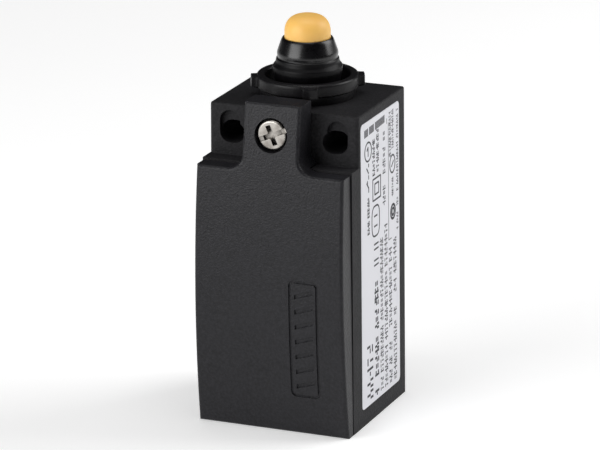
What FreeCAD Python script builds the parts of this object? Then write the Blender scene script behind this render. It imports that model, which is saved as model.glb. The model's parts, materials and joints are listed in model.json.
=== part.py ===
import FreeCAD, Part
import math
import os

# A plunger-operated limit switch. Millimetres, +Z up, +X towards the labelled side, -Y towards the cover.
# The origin is the centre of the underside of the bounding box.

V = FreeCAD.Vector

# --- driving dimensions -----------------------------------------------------------------------------

DEPTH = 32.3                  # back face to the crown of the cover
BACK_Y = DEPTH / 2.0
HEIGHT = 62.0                 # top of the ear block
BASE_HALF_BOTTOM = 15.55      # half width of the housing at its foot
BASE_HALF_TOP = 15.15         # half width of the housing at its top
COVER_HALF_BOTTOM = 15.50
COVER_HALF_TOP = 14.95
PARTING = 27.50               # housing rim, measured forward from the back face
PARTING_GAP = 0.25
EAR_FRONT = 24.10             # front plane of the ear block, from the back face
LEDGE_Z = 52.0
SHOULDER_Z = 51.6
TONGUE_HALF = 5.7
TONGUE_TOP_Z = 64.4
TONGUE_FILLET = 3.0
FACE_RADIUS = 199.0           # the cover's face is a shallow barrel about a line along X
FACE_CROWN_Z = 30.1
WALL = 1.95
FLOOR = 10.0                  # bottom wall, long enough for the cable entry's thread
CAVITY_BACK = 2.0             # thickness of the back wall
CAVITY_TOP_Z = 50.0
BACK_ROUND = 0.5              # edge rounds of the housing
EAR_SIDE_ROUND = 0.7
EAR_TOP_ROUND = 0.4
FACE_ROUND = 0.6              # edge round of the cover's face

TONGUE_WALL = 1.6             # the hollow behind the cover's tongue
TONGUE_HOLLOW_FRONT = 27.6    # from the back face
TONGUE_HOLLOW_Z = LEDGE_Z + 2.2
TAB_INNER = 5.0               # locating tabs at the cover's foot
TAB_OUTER = 10.0
TAB_LOW_Z = 2.6
TAB_HIGH_Z = 4.2
TAB_REACH = 2.6
TAB_CLEARANCE = 0.2
SEAL_MARGIN = 0.5             # from the housing's side to the seal's groove
SEAL_WIDTH = 0.9
SEAL_DEPTH = 0.9
SEAL_BELOW_FLOOR = 3.2
SEAL_PROUD = 0.15

AXIS = 12.0                   # plunger axis, forward of the back face
CAP_R = 4.42
CAP_TOP_Z = 77.7
CAP_BOTTOM_Z = 70.3
CAP_ROUND = 3.0
STEM_R = 2.5
STEM_TOP_Z = 74.4
STEM_BOTTOM_Z = 50.4
RUN_CLEARANCE = 0.06

SLOT_Z = 56.5                 # fixing slots
SLOT_SPACING = 21.0
SLOT_R = 2.1
SLOT_LENGTH = 5.1
POCKET_TOP_Z = 60.75
POCKET_DEPTH = 1.2

ENTRY_R = 10.0                # cable entry, M20 thread's outer radius
ENTRY_FROM_BACK = 13.75

SCREW_Z = 58.5
SCREW_R = 1.75                # shank and thread's outer radius
SCREW_CORE_R = 1.45           # bottom of the thread, behind the retainer
SCREW_TURN = 23.0             # how far the driving slot stands turned from level, in degrees
HEAD_R = 2.9
HEAD_HEIGHT = 1.5
HEAD_RECESS = 0.3
DRIVE_SLOT_DEPTH = 0.6
DRIVE_CROSS_DEPTH = 1.1
DRIVE_REACH = 2.0             # how far the cross recess reaches from the screw's centre
DRIVE_HALF = 0.5              # half width of the driving slot and of the cross's arms
DRIVE_CENTRE = 0.85           # half width of the square where the arms meet
HEAD_ROUND = 0.4
COUNTERBORE_R = 3.3
SCREW_BOSS_R = 4.2            # solid plastic left round the screw behind the tongue
RING_THICK = 0.6
RETAINER_R = 2.8
RETAINER_THICK = 0.7
INSERT_R = 2.5
INSERT_END = 19.7             # rear end of the brass insert, from the back face

COLLAR_NECK_R = 9.2
COLLAR_RING_R = 9.8
COLLAR_LUG_R = 10.9
COLLAR_RING_Z = 63.5
COLLAR_TOP_Z = 66.15
COLLAR_OPENING_R = 8.2
LUG_ANGLE = 25.0              # first lug, turned from -Y towards +X
LUG_WIDTH = 16.0              # degrees
COLLAR_SPIGOT_R = 7.4
COLLAR_SPIGOT = 1.6
COLLAR_CHAMFER = 0.3
LUG_LOW_Z = 64.1
LUG_HIGH_Z = 65.6
LUG_ROOT = 0.4                # how far a lug's root lies outside the collar's opening
BOOT_FOOT_Z = 63.0
BOOT_LIP_Z = 73.3
GUIDE_R = 5.6
GUIDE_TOP_Z = 64.4
CUP_OUT_R = 5.2
CUP_IN_R = 4.2
SPRING_SEAT_Z = 60.0

BLOCK_HALF = 13.2
BLOCK_BOTTOM_Z = 24.0
BLOCK_TOP_Z = 49.6
BLOCK_BACK = 2.05             # from the housing's back face
BLOCK_FRONT = 19.6
BLOCK_WALL = 1.2
LID = 1.2
RIB_X = (-6.65, 0.0, 6.65)    # ribs between the four clamps
RIB_HALF = 0.4
RIB_TOP_Z = 32.4
TOWER_HALF = 2.2              # towers that seat the contact springs
WINDOW_HALF = 1.9             # windows for conductors and for the screwdriver
WIRE_WINDOW = (4.6, 7.8)      # rear and front edge of the conductors' windows, from the back face
DRIVER_WINDOW = (29.5, 33.2)  # foot and top of the screwdriver's windows
LID_ROUND = 0.3

BRIDGE_PITCH = 7.0            # front bridge to rear bridge
BRIDGE_TOP_Z = 42.0
BRIDGE_THICK = 0.8
BRIDGE_HALF = 8.4
PRETRAVEL = 2.0
TIP_X = 7.0
TIP_R = 1.2
TIP_HEIGHT = 0.8
STRIP = 0.8
STRIP_HALF = 1.2              # half width of a strip's arm
PAD_HALF = 1.5                # half depth of a strip's pad and of a bridge
PAD_INSET = 1.4               # how far a pad reaches inward of its tip
OUTER_ARM = 2.9               # how far the front strips' arms stand outside their tips
JOG = 2.4                     # height of the strip's sideways run
TAIL_X = {"11": -9.9, "12": 9.9, "21": -3.95, "22": 3.95}
CONTACT_ROW = {"11": 1, "12": 1, "21": -1, "22": -1}

ARM_BOTTOM_Z = BRIDGE_TOP_Z + PRETRAVEL
ARM_THICK = 2.2
ARM_OVERHANG = 2.4            # how far the slider's arm reaches past a bridge's centre line
SLIDER_HALF = 1.8
FOOT_HALF_X = 1.0             # foot under the slider's arm
FOOT_HALF_Y = 0.9
FOOT_HEIGHT = 4.5
SPRING_FLOOR_Z = 33.0         # seats of the contact springs
TAIL_HALF = 1.5
TAIL_BOTTOM_Z = 26.0
TAIL_BEND_Z = 35.0
CLAMP_HALF = 1.7
CLAMP_DEPTH = 8.5
CLAMP_BOTTOM_Z = 26.6
CLAMP_TOP_Z = 32.4
LEAF = 0.45
CLAMP_NOSE = 1.6              # corner cuts of a clamp: front top, rear top and front foot
CLAMP_HEEL = 1.2
CLAMP_TOE = 0.9
CLAMP_GAP = 2.2               # opening at the clamp's back
CLAMP_WINDOW = (1.0, 4.2)     # rear and front edge of the conductor's window, from the strip
CLAMP_WINDOW_HALF = 1.1

LABEL_THICK = 0.12
LABEL_RECESS = 0.10
LABEL_CORNER = 1.0
LABEL_FRONT = 22.95
LABEL_BACK = 3.2
LABEL_BOTTOM_Z = 3.4
LABEL_TOP_Z = 60.0

MARK_X = 7.25                 # sunk panel of slanting bars, low on the right of the cover's face
MARK_Z = 19.5
MARK_HALF_WIDTH = 3.05
MARK_HALF_HEIGHT = 11.8
MARK_LINE = 0.6
MARK_DEPTH = 0.3
MARK_BARS = 7
MARK_SLANT = 0.6              # how far a bar rises from its middle to its end
MARK_BAR_HALF = 0.45
MARK_CORNER = 1.2


# --- helpers ----------------------------------------------------------------------------------------

def fwd(distance):
    """The Y of a plane that lies this far in front of the back face."""
    return BACK_Y - distance


AXIS_Y = fwd(AXIS)


def box(x0, x1, y0, y1, z0, z1):
    low = V(min(x0, x1), min(y0, y1), min(z0, z1))
    return Part.makeBox(abs(x1 - x0), abs(y1 - y0), abs(z1 - z0), low)


def rod_z(r, z0, z1, x=0.0, y=AXIS_Y):
    return Part.makeCylinder(r, z1 - z0, V(x, y, z0), V(0, 0, 1))


def rod_y(r, y0, y1, x=0.0, z=SCREW_Z):
    return Part.makeCylinder(r, abs(y1 - y0), V(x, min(y0, y1), z), V(0, 1, 0))


def plate_y(points, y0, y1):
    """A flat outline of (x, z) points, carried along Y."""
    wire = Part.makePolygon([V(x, min(y0, y1), z) for x, z in points + points[:1]])
    return Part.Face(wire).extrude(V(0, abs(y1 - y0), 0))


def plate_x(points, x0, x1):
    """A flat outline of (y, z) points, carried along X."""
    wire = Part.makePolygon([V(x0, y, z) for y, z in points + points[:1]])
    return Part.Face(wire).extrude(V(x1 - x0, 0, 0))


def turned(points, x=0.0, y=AXIS_Y):
    """A closed outline of (r, z) points turned about the vertical through (x, y)."""
    wire = Part.makePolygon([V(x + r, y, z) for r, z in points + points[:1]])
    return Part.Face(wire).revolve(V(x, y, 0), V(0, 0, 1), 360)


def tube_z(r_out, r_in, z0, z1, x=0.0, y=AXIS_Y):
    return rod_z(r_out, z0, z1, x, y).cut(rod_z(r_in, z0, z1, x, y))


def obround_y(r, x0, x1, z0, z1, y0, y1):
    """A round-ended bar along Y whose section's centre line runs from (x0, z0) to (x1, z1)."""
    bar = rod_y(r, y0, y1, x0, z0).fuse(rod_y(r, y0, y1, x1, z1))
    if abs(x1 - x0) > abs(z1 - z0):
        return bar.fuse(box(x0, x1, y0, y1, z0 - r, z0 + r)).removeSplitter()
    return bar.fuse(box(x0 - r, x0 + r, y0, y1, z0, z1)).removeSplitter()


def rounded(shape, radius, wanted):
    """Fillets the edges whose two ends and middle all pass the test."""
    edges = [e for e in shape.Edges if all(wanted(p) for p in edge_points(e))]
    return shape.makeFillet(radius, edges)


def edge_points(edge):
    middle = edge.valueAt((edge.FirstParameter + edge.LastParameter) / 2.0)
    return [v.Point for v in edge.Vertexes] + [middle]


def along(shape, axis):
    """The straight edges of a shape that run along one axis."""
    others = [i for i in range(3) if "xyz"[i] != axis]
    ends = [(e, e.Vertexes[0].Point, e.Vertexes[-1].Point) for e in shape.Edges]
    return [e for e, a, b in ends if all(near(a[i], b[i]) for i in others)]


def near(value, target, tolerance=0.02):
    return abs(value - target) < tolerance


def half_at(z, bottom, top, top_z):
    return bottom + (top - bottom) * z / top_z


def base_half(z):
    return half_at(z, BASE_HALF_BOTTOM, BASE_HALF_TOP, HEIGHT)


def cover_half(z):
    return half_at(z, COVER_HALF_BOTTOM, COVER_HALF_TOP, SHOULDER_Z)


def face_y(z):
    """Y of the crowned cover face at height z."""
    return -BACK_Y + FACE_RADIUS - math.sqrt(FACE_RADIUS ** 2 - (z - FACE_CROWN_Z) ** 2)


def save(name, shape):
    assert shape.isValid(), name
    shape.exportStep(os.path.join("parts", name + ".step"))


# --- housing ----------------------------------------------------------------------------------------

def trapezoid(half, z0, z1, inset=0.0):
    return [(-half(z0) + inset, z0), (half(z0) - inset, z0), (half(z1) - inset, z1), (-half(z1) + inset, z1)]


def housing_outside():
    lower = plate_y(trapezoid(base_half, 0, LEDGE_Z), fwd(PARTING), BACK_Y)
    upper = plate_y(trapezoid(base_half, 0, HEIGHT), fwd(EAR_FRONT), BACK_Y)
    body = lower.fuse(upper).removeSplitter()

    def on_side(p):
        return near(abs(p.x), base_half(p.z))

    def on_back(p):
        return near(p.y, BACK_Y) and (on_side(p) or near(p.z, HEIGHT))

    def on_ear_side(p):
        return near(p.y, fwd(EAR_FRONT)) and on_side(p) and p.z > LEDGE_Z - 0.1

    def on_ear_top(p):
        return near(p.z, HEIGHT) and near(p.y, fwd(EAR_FRONT))

    body = rounded(body, BACK_ROUND, on_back)
    body = rounded(body, EAR_SIDE_ROUND, on_ear_side)
    return rounded(body, EAR_TOP_ROUND, on_ear_top)


def fixing_slot(side):
    centre = side * SLOT_SPACING / 2.0
    half_run = SLOT_LENGTH / 2.0 - SLOT_R
    outer = centre + side * half_run
    x0, x1 = sorted((centre - half_run, centre + half_run))
    through = obround_y(SLOT_R, x0, x1, SLOT_Z, SLOT_Z, fwd(EAR_FRONT + 1), BACK_Y + 1)
    y1 = fwd(EAR_FRONT - POCKET_DEPTH)
    pocket = obround_y(SLOT_R, outer, outer, SLOT_Z, POCKET_TOP_Z - SLOT_R, fwd(EAR_FRONT + 1), y1)
    return through.fuse(pocket)


def seal_outline(inset):
    low = FLOOR - SEAL_BELOW_FLOOR + inset
    high = LEDGE_Z - inset
    return trapezoid(base_half, low, high, inset)


def seal_ring(y0, y1):
    outer = plate_y(seal_outline(SEAL_MARGIN), y0, y1)
    inner = plate_y(seal_outline(SEAL_MARGIN + SEAL_WIDTH), y0, y1)
    return outer.cut(inner)


def housing_base():
    body = housing_outside()
    cavity = plate_y(trapezoid(base_half, FLOOR, CAVITY_TOP_Z, WALL), fwd(PARTING + 1), fwd(CAVITY_BACK))
    body = body.cut(cavity)
    body = body.cut(rod_z(ENTRY_R, -1, FLOOR + 1, y=fwd(ENTRY_FROM_BACK)))
    for side in (-1, 1):
        body = body.cut(fixing_slot(side))
    body = body.cut(rod_z(GUIDE_R, CAVITY_TOP_Z - 1, HEIGHT + 1))
    body = body.cut(rod_z(COLLAR_SPIGOT_R, HEIGHT - COLLAR_SPIGOT, HEIGHT + 1))
    body = body.cut(rod_y(INSERT_R, fwd(EAR_FRONT + 1), fwd(INSERT_END)))
    body = body.cut(seal_ring(fwd(PARTING + 1), fwd(PARTING - SEAL_DEPTH)))
    for side in (-1, 1):
        body = body.cut(tab(side, TAB_CLEARANCE))
    return body.cut(label_solid(LABEL_RECESS + 1.0, 0.1))


def tab(side, grow=0.0):
    """A locating tab at the cover's foot, or with grow its pocket in the housing."""
    x0 = side * (TAB_INNER - grow)
    x1 = side * (TAB_OUTER + grow)
    back = fwd(PARTING - TAB_REACH - grow)
    return box(x0, x1, fwd(PARTING + 1.5), back, TAB_LOW_Z - grow, TAB_HIGH_Z + grow)


# --- label ------------------------------------------------------------------------------------------

def label_solid(thick, grow=0.0):
    """A thin film on the right side wall, leaning with the wall's draft."""
    y0, y1 = fwd(LABEL_FRONT) - grow, fwd(LABEL_BACK) + grow
    z0, z1 = LABEL_BOTTOM_Z - grow, LABEL_TOP_Z + grow
    film = Part.makeBox(thick, y1 - y0, z1 - z0, V(0, y0, z0))
    film = film.makeFillet(LABEL_CORNER + grow, along(film, "x"))
    lean = math.degrees(math.atan2(BASE_HALF_BOTTOM - BASE_HALF_TOP, HEIGHT))
    film.rotate(V(0, 0, 0), V(0, 1, 0), -lean)
    return film.translated(V(BASE_HALF_BOTTOM - LABEL_RECESS, 0, 0))


def rating_label():
    return label_solid(LABEL_THICK)


# --- front cover ------------------------------------------------------------------------------------

def cover_outline(inset=0.0):
    """The T-shaped outline, from its lower left corner."""
    return [
        (-cover_half(0) + inset, inset),
        (cover_half(0) - inset, inset),
        (cover_half(SHOULDER_Z) - inset, SHOULDER_Z - inset),
        (TONGUE_HALF - inset, SHOULDER_Z - inset),
        (TONGUE_HALF - inset, TONGUE_TOP_Z - inset),
        (-TONGUE_HALF + inset, TONGUE_TOP_Z - inset),
        (-TONGUE_HALF + inset, SHOULDER_Z - inset),
        (-cover_half(SHOULDER_Z) + inset, SHOULDER_Z - inset),
    ]


def barrel(offset=0.0):
    """Everything behind the crowned face, moved back by offset."""
    r = FACE_RADIUS - offset
    centre = V(-40, -BACK_Y + FACE_RADIUS, FACE_CROWN_Z)
    return Part.makeCylinder(r, 80, centre, V(1, 0, 0))


def front_cover():
    rim = fwd(PARTING + PARTING_GAP)
    ear = fwd(EAR_FRONT + 0.1)
    tall = plate_y(cover_outline(), -BACK_Y - 2, ear)
    tall = rounded(tall, TONGUE_FILLET, lambda p: near(abs(p.x), TONGUE_HALF) and near(p.z, SHOULDER_Z))
    solid = tall.common(barrel())
    behind_rim = box(-20, 20, rim, ear + 1, -1, LEDGE_Z + 0.25)
    solid = solid.cut(behind_rim)
    solid = soften_cover(solid)
    cavity = plate_y(cover_outline(WALL)[:3] + cover_outline(WALL)[-1:], -BACK_Y - 2, ear)
    cavity = cavity.common(barrel(2.0))
    solid = solid.cut(cavity)
    half, top = TONGUE_HALF - TONGUE_WALL, TONGUE_TOP_Z - TONGUE_WALL
    hollow = box(-half, half, fwd(TONGUE_HOLLOW_FRONT), ear + 1, TONGUE_HOLLOW_Z, top)
    solid = solid.cut(hollow.cut(rod_y(SCREW_BOSS_R, -BACK_Y, ear + 1)))
    for side in (-1, 1):
        solid = solid.fuse(tab(side))
    solid = solid.cut(rod_y(COUNTERBORE_R, -BACK_Y - 1, head_seat_y() + RING_THICK))
    solid = solid.cut(rod_y(SCREW_R + 0.1, -BACK_Y - 1, ear + 1))
    solid = solid.cut(rod_y(RETAINER_R + 0.1, ear - RETAINER_THICK, ear + 1))
    return solid.cut(face_mark())


def soften_cover(solid):
    """Rounds the face's outer edges, so that they catch the light as moulded edges do."""
    edges = []
    for face in solid.Faces:
        if face.Surface.TypeId == "Part::GeomCylinder" and near(face.Surface.Radius, FACE_RADIUS):
            edges.extend(face.Edges)
    return solid.makeFillet(FACE_ROUND, edges)


def slab(x0, x1, z0, z1):
    """A bar along Y through the cover's face."""
    return box(x0, x1, -BACK_Y - 1, -BACK_Y + 4, z0, z1)


def face_mark():
    """A sunk frame with slanting bars in it, cut to an even depth behind the crowned face."""
    w, h, line = MARK_HALF_WIDTH, MARK_HALF_HEIGHT, MARK_LINE
    outer = slab(MARK_X - w, MARK_X + w, MARK_Z - h, MARK_Z + h)
    outer = outer.makeFillet(MARK_CORNER, along(outer, "y"))
    inner = slab(MARK_X - w + line, MARK_X + w - line, MARK_Z - h + line, MARK_Z + h - line)
    mark = outer.cut(inner.makeFillet(MARK_CORNER - line, along(inner, "y")))
    reach = w - 2 * line
    pitch = 2 * (h - 2 * line) / MARK_BARS
    for k in range(MARK_BARS):
        z = MARK_Z + (k - (MARK_BARS - 1) / 2.0) * pitch
        left, right = z - MARK_SLANT, z + MARK_SLANT
        bar = [(MARK_X - reach, left - MARK_BAR_HALF), (MARK_X + reach, right - MARK_BAR_HALF),
               (MARK_X + reach, right + MARK_BAR_HALF), (MARK_X - reach, left + MARK_BAR_HALF)]
        mark = mark.fuse(plate_y(bar, -BACK_Y - 1, -BACK_Y + 4))
    return mark.cut(barrel(MARK_DEPTH))


def head_seat_y():
    """Y of the underside of the screw's head."""
    return face_y(SCREW_Z) + HEAD_RECESS + HEAD_HEIGHT


def screw_seal_ring():
    y = head_seat_y()
    return rod_y(HEAD_R, y, y + RING_THICK).cut(rod_y(SCREW_R + RUN_CLEARANCE, y, y + RING_THICK))


def screw_retainer():
    y1 = fwd(EAR_FRONT + 0.1)
    y0 = y1 - RETAINER_THICK
    return rod_y(RETAINER_R, y0, y1).cut(rod_y(SCREW_R + RUN_CLEARANCE, y0, y1))


def screw_insert():
    y0, y1 = fwd(EAR_FRONT), fwd(INSERT_END)
    return rod_y(INSERT_R, y0, y1).cut(rod_y(SCREW_R + RUN_CLEARANCE, y0, y1))


def cover_screw():
    seat = head_seat_y()
    top = seat - HEAD_HEIGHT
    head = rod_y(HEAD_R, top, seat)
    head = rounded(head, HEAD_ROUND, lambda p: near(p.y, top))
    shank = rod_y(SCREW_R, seat, fwd(EAR_FRONT)).fuse(rod_y(SCREW_CORE_R, seat, fwd(INSERT_END + 0.5)))
    screw = head.fuse(shank)
    floor = top + DRIVE_CROSS_DEPTH
    slot = drive_recess(HEAD_R + 1, DRIVE_HALF, top, top + DRIVE_SLOT_DEPTH)
    arms = drive_recess(DRIVE_REACH, DRIVE_HALF, top, floor)
    upright = drive_recess(DRIVE_HALF, DRIVE_REACH, top, floor)
    socket = drive_recess(DRIVE_CENTRE, DRIVE_CENTRE, top, floor)
    socket.rotate(V(0, 0, SCREW_Z), V(0, 1, 0), 45)
    drive = slot.multiFuse([arms, upright, socket])
    drive.rotate(V(0, 0, SCREW_Z), V(0, 1, 0), -SCREW_TURN)
    return screw.cut(drive)


def drive_recess(half_x, half_z, top, floor):
    """A rectangular recess in the screw's head, centred on the screw."""
    return box(-half_x, half_x, top - 1, floor, SCREW_Z - half_z, SCREW_Z + half_z)


def cover_seal():
    return seal_ring(fwd(PARTING + SEAL_PROUD), fwd(PARTING - SEAL_DEPTH))


# --- plunger, guide, boot and collar ----------------------------------------------------------------

def head_collar():
    wall = [
        (COLLAR_SPIGOT_R, HEIGHT - COLLAR_SPIGOT),
        (COLLAR_SPIGOT_R, HEIGHT),
        (COLLAR_NECK_R, HEIGHT),
        (COLLAR_NECK_R, COLLAR_RING_Z),
        (COLLAR_RING_R, COLLAR_RING_Z + 0.3),
        (COLLAR_RING_R, COLLAR_TOP_Z - COLLAR_CHAMFER),
        (COLLAR_RING_R - COLLAR_CHAMFER, COLLAR_TOP_Z),
        (COLLAR_OPENING_R + 0.2, COLLAR_TOP_Z),
        (COLLAR_OPENING_R, COLLAR_TOP_Z - 0.3),
        (COLLAR_OPENING_R - 0.3, BOOT_FOOT_Z),
        (GUIDE_R, BOOT_FOOT_Z),
        (GUIDE_R, HEIGHT - COLLAR_SPIGOT),
    ]
    collar = turned(wall)
    for k in range(4):
        collar = collar.fuse(collar_lug(LUG_ANGLE + 90.0 * k))
    return collar.removeSplitter()


def collar_lug(angle):
    """One bayonet lug: a short arc of ring, centred at an angle turned from -Y towards +X."""
    inner = COLLAR_OPENING_R + LUG_ROOT
    start = math.radians(angle - 90.0 - LUG_WIDTH / 2.0)
    across = V(math.cos(start), math.sin(start), 0)
    outline = [
        (inner, LUG_LOW_Z), (COLLAR_LUG_R, LUG_LOW_Z), (COLLAR_LUG_R, LUG_HIGH_Z - COLLAR_CHAMFER),
        (COLLAR_LUG_R - COLLAR_CHAMFER, LUG_HIGH_Z), (inner, LUG_HIGH_Z),
    ]
    loop = [V(0, AXIS_Y, z) + across * r for r, z in outline + outline[:1]]
    return Part.Face(Part.makePolygon(loop)).revolve(V(0, AXIS_Y, 0), V(0, 0, 1), LUG_WIDTH)


def plunger_boot():
    outside = [
        (6.05, BOOT_FOOT_Z), (6.25, 65.0), (6.65, 66.9), (6.65, 67.75), (6.10, 68.5),
        (6.02, 69.3), (5.75, 69.45), (5.90, 70.2), (4.95, 73.0), (4.60, BOOT_LIP_Z),
    ]
    inside = [
        (CAP_R + 0.05, BOOT_LIP_Z), (CAP_R + 0.05, 72.2), (5.00, 70.0), (5.15, 68.2), (5.45, 66.9),
        (5.45, BOOT_FOOT_Z),
    ]
    return turned(outside + inside)


def plunger_guide():
    """A bush that carries the stem, with a cup for the return spring above it."""
    outline = [
        (STEM_R + RUN_CLEARANCE, CAVITY_TOP_Z), (GUIDE_R, CAVITY_TOP_Z), (GUIDE_R, HEIGHT + 0.6),
        (CUP_OUT_R, HEIGHT + 1.0), (CUP_OUT_R, GUIDE_TOP_Z), (CUP_IN_R, GUIDE_TOP_Z),
        (CUP_IN_R, SPRING_SEAT_Z), (STEM_R + RUN_CLEARANCE, SPRING_SEAT_Z),
    ]
    return turned(outline)


def plunger_cap():
    cap = rod_z(CAP_R, CAP_BOTTOM_Z, CAP_TOP_Z)
    cap = rounded(cap, CAP_ROUND, lambda p: near(p.z, CAP_TOP_Z))
    return cap.cut(rod_z(STEM_R, CAP_BOTTOM_Z - 1, STEM_TOP_Z))


def plunger_stem():
    return rod_z(STEM_R, STEM_BOTTOM_Z, STEM_TOP_Z)


def return_spring():
    return tube_z(3.7, 3.1, SPRING_SEAT_Z, CAP_BOTTOM_Z)


# --- contact element --------------------------------------------------------------------------------

def row_y(row):
    """Y of the front (+1) or rear (-1) bridge."""
    return AXIS_Y - row * BRIDGE_PITCH / 2.0


TAIL_Y = fwd(BLOCK_BACK + BLOCK_WALL)
STRIP_Z = BRIDGE_TOP_Z + 2 * TIP_HEIGHT


def contact_block_body():
    outer = box(-BLOCK_HALF, BLOCK_HALF, fwd(BLOCK_FRONT), fwd(BLOCK_BACK), BLOCK_BOTTOM_Z, BLOCK_TOP_Z)
    inner = BLOCK_HALF - BLOCK_WALL
    low, high = BLOCK_BOTTOM_Z + BLOCK_WALL, BLOCK_TOP_Z - BLOCK_WALL
    body = outer.cut(box(-inner, inner, fwd(BLOCK_FRONT + 1), TAIL_Y, low, high))
    for x in RIB_X:
        body = body.fuse(box(x - RIB_HALF, x + RIB_HALF, fwd(BLOCK_FRONT), TAIL_Y, low, RIB_TOP_Z))
    for y in (row_y(-1), row_y(1)):
        body = body.fuse(box(-TOWER_HALF, TOWER_HALF, y - TOWER_HALF, y + TOWER_HALF, low, SPRING_FLOOR_Z))
    for x in TAIL_X.values():
        y1, y0 = (fwd(edge) for edge in WIRE_WINDOW)
        body = body.cut(box(x - WINDOW_HALF, x + WINDOW_HALF, y0, y1, BLOCK_BOTTOM_Z - 1, low + 0.1))
    body = body.cut(rod_z(STEM_R + 0.3, high - 1, BLOCK_TOP_Z + 1))
    return body.removeSplitter()


def contact_block_lid():
    lid = box(-BLOCK_HALF, BLOCK_HALF, fwd(BLOCK_FRONT + LID), fwd(BLOCK_FRONT), BLOCK_BOTTOM_Z, BLOCK_TOP_Z)
    for x in TAIL_X.values():
        x0, x1 = x - WINDOW_HALF, x + WINDOW_HALF
        lid = lid.cut(box(x0, x1, fwd(BLOCK_FRONT + 2), fwd(BLOCK_FRONT - 1), *DRIVER_WINDOW))
    edges = [e for e in lid.Edges if all(near(v.Y, fwd(BLOCK_FRONT + LID)) for v in e.Vertexes)]
    return lid.makeFillet(LID_ROUND, edges)


def side_of(name):
    return 1 if TAIL_X[name] > 0 else -1


def fixed_contact(name):
    """A bent strip: a pad over the bridge's end, an arm to the back wall and a tail down to the clamp."""
    side, row = side_of(name), CONTACT_ROW[name]
    y, tail = row_y(row), TAIL_X[name]
    arm = side * (TIP_X + OUTER_ARM) if row == 1 else side * TIP_X
    z0, z1 = STRIP_Z, STRIP_Z + STRIP
    plate = TAIL_Y - STRIP
    jog_z = TAIL_BEND_Z - JOG
    arm_low, arm_high = arm - STRIP_HALF, arm + STRIP_HALF
    low_x, high_x = sorted((arm, tail))
    pieces = [
        box(side * (TIP_X - PAD_INSET), arm + side * STRIP_HALF, y - PAD_HALF, y + PAD_HALF, z0, z1),
        box(arm_low, arm_high, y - PAD_HALF, TAIL_Y, z0, z1),
        box(arm_low, arm_high, plate, TAIL_Y, jog_z, z1),
        box(low_x - STRIP_HALF, high_x + STRIP_HALF, plate, TAIL_Y, jog_z, TAIL_BEND_Z),
        box(tail - TAIL_HALF, tail + TAIL_HALF, plate, TAIL_Y, TAIL_BOTTOM_Z, TAIL_BEND_Z),
    ]
    return pieces[0].multiFuse(pieces[1:]).removeSplitter()


def contact_tip(name):
    return rod_z(TIP_R, STRIP_Z - TIP_HEIGHT, STRIP_Z, side_of(name) * TIP_X, row_y(CONTACT_ROW[name]))


def cage_clamp(name):
    """A looped leaf spring in front of the tail, with a window that draws the conductor up to it."""
    x, back = TAIL_X[name], TAIL_Y - STRIP
    front, low, high = back - CLAMP_DEPTH, CLAMP_BOTTOM_Z, CLAMP_TOP_Z
    outer = [
        (back, low + CLAMP_GAP), (back, high - CLAMP_HEEL), (back - CLAMP_HEEL, high),
        (front + CLAMP_NOSE, high), (front, high - CLAMP_NOSE), (front, low + CLAMP_TOE),
        (front + CLAMP_TOE, low), (back - 0.05, low),
    ]
    inner = [
        (back - 0.05, low + LEAF), (front + CLAMP_TOE + 0.2, low + LEAF),
        (front + LEAF, low + CLAMP_TOE + 0.2), (front + LEAF, high - CLAMP_NOSE - 0.2),
        (front + CLAMP_NOSE + 0.2, high - LEAF), (back - CLAMP_HEEL - 0.2, high - LEAF),
        (back - LEAF, high - CLAMP_HEEL - 0.2), (back - LEAF, low + CLAMP_GAP),
    ]
    clamp = plate_x(outer + inner, x - CLAMP_HALF, x + CLAMP_HALF)
    y1, y0 = (back - edge for edge in CLAMP_WINDOW)
    half = CLAMP_WINDOW_HALF
    return clamp.cut(box(x - half, x + half, y0, y1, low - 1, low + 1))


def contact_slider():
    """A neck under the stem, an arm that spans both bridges and a foot that keeps it upright."""
    half, reach = SLIDER_HALF, BRIDGE_PITCH / 2.0 + ARM_OVERHANG
    neck = box(-half, half, AXIS_Y - half, AXIS_Y + half, ARM_BOTTOM_Z, STEM_BOTTOM_Z)
    arm = box(-half, half, AXIS_Y - reach, AXIS_Y + reach, ARM_BOTTOM_Z, ARM_BOTTOM_Z + ARM_THICK)
    y0, y1 = AXIS_Y - FOOT_HALF_Y, AXIS_Y + FOOT_HALF_Y
    foot = box(-FOOT_HALF_X, FOOT_HALF_X, y0, y1, ARM_BOTTOM_Z - FOOT_HEIGHT, ARM_BOTTOM_Z)
    return neck.fuse(arm).fuse(foot).removeSplitter()


def contact_bridge(row):
    y = row_y(row)
    y0, y1 = y - PAD_HALF, y + PAD_HALF
    plate = box(-BRIDGE_HALF, BRIDGE_HALF, y0, y1, BRIDGE_TOP_Z - BRIDGE_THICK, BRIDGE_TOP_Z)
    return plate.makeFillet(0.8, along(plate, "z"))


def bridge_tips(row):
    tips = [rod_z(TIP_R, BRIDGE_TOP_Z, BRIDGE_TOP_Z + TIP_HEIGHT - 0.02, side * TIP_X, row_y(row))
            for side in (-1, 1)]
    return Part.makeCompound(tips)


def contact_spring(row):
    return tube_z(1.9, 1.4, SPRING_FLOOR_Z, BRIDGE_TOP_Z - BRIDGE_THICK, y=row_y(row))


# --- output -----------------------------------------------------------------------------------------

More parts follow.
